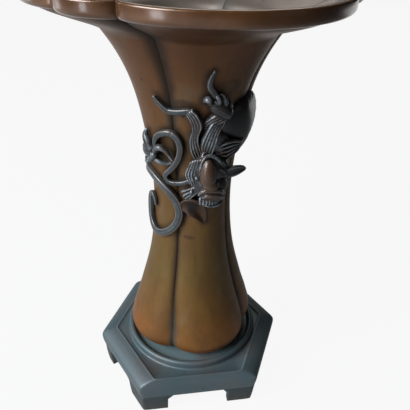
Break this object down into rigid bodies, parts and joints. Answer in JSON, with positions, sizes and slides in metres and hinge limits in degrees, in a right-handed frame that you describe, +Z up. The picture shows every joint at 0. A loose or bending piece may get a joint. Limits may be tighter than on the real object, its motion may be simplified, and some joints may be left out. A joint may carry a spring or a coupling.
{
  "type": "bronze flower vase",
  "caption": "Tall four-lobed bronze flower vase with a scalloped flaring mouth, an applied dragon round the neck and a hexagonal footed stand.",
  "frame": {"origin": "on the ground under the vase's vertical axis, which is also the middle of the mouth's outline", "axes": "+Z up along the vase's axis; -Y out of the stand's front side, the side that faces the viewer; +X to the viewer's right"},
  "size_m": [0.1888, 0.1984, 0.3],
  "materials": {
    "body_bronze": "brown patinated bronze, satin",
    "lip_bronze": "dark brown patinated bronze, satin",
    "dragon_bronze": "near-black patinated bronze, rubbed highlights",
    "stand_bronze": "blue-grey patinated bronze, matt",
    "foot_bronze": "grey-brown patinated bronze, matt",
    "pin_bronze": "plain bronze pin",
    "fixing_brass": "plain turned brass"
  },
  "bodies": {
    "root": {"vase_body": "body_bronze", "lip_band": "lip_bronze", "bottom_plate": "body_bronze", "stand_slab": "stand_bronze", "tie_stud": "fixing_brass", "tie_washer": "fixing_brass", "tie_nut": "fixing_brass", "stand_foot_front_left": "foot_bronze", "stand_foot_front_right": "foot_bronze", "stand_foot_right": "foot_bronze", "stand_foot_back_right": "foot_bronze", "stand_foot_back_left": "foot_bronze", "stand_foot_left": "foot_bronze", "relief_pin_1": "pin_bronze", "relief_pin_2": "pin_bronze", "relief_pin_3": "pin_bronze", "relief_pin_4": "pin_bronze", "relief_pin_5": "pin_bronze", "relief_pin_6": "pin_bronze", "relief_pin_7": "pin_bronze", "relief_pin_8": "pin_bronze", "dragon_head": "dragon_bronze", "dragon_jaw": "dragon_bronze", "dragon_ear_right": "dragon_bronze", "dragon_ear_left": "dragon_bronze", "dragon_mane_left": "dragon_bronze", "dragon_mane_right": "dragon_bronze", "dragon_forepaw": "dragon_bronze", "dragon_flame": "dragon_bronze", "dragon_body": "dragon_bronze", "dragon_hind_claw": "dragon_bronze", "dragon_tail": "dragon_bronze", "dragon_whisker": "dragon_bronze", "dragon_top_tendril": "dragon_bronze"}
  },
  "joints": []
}
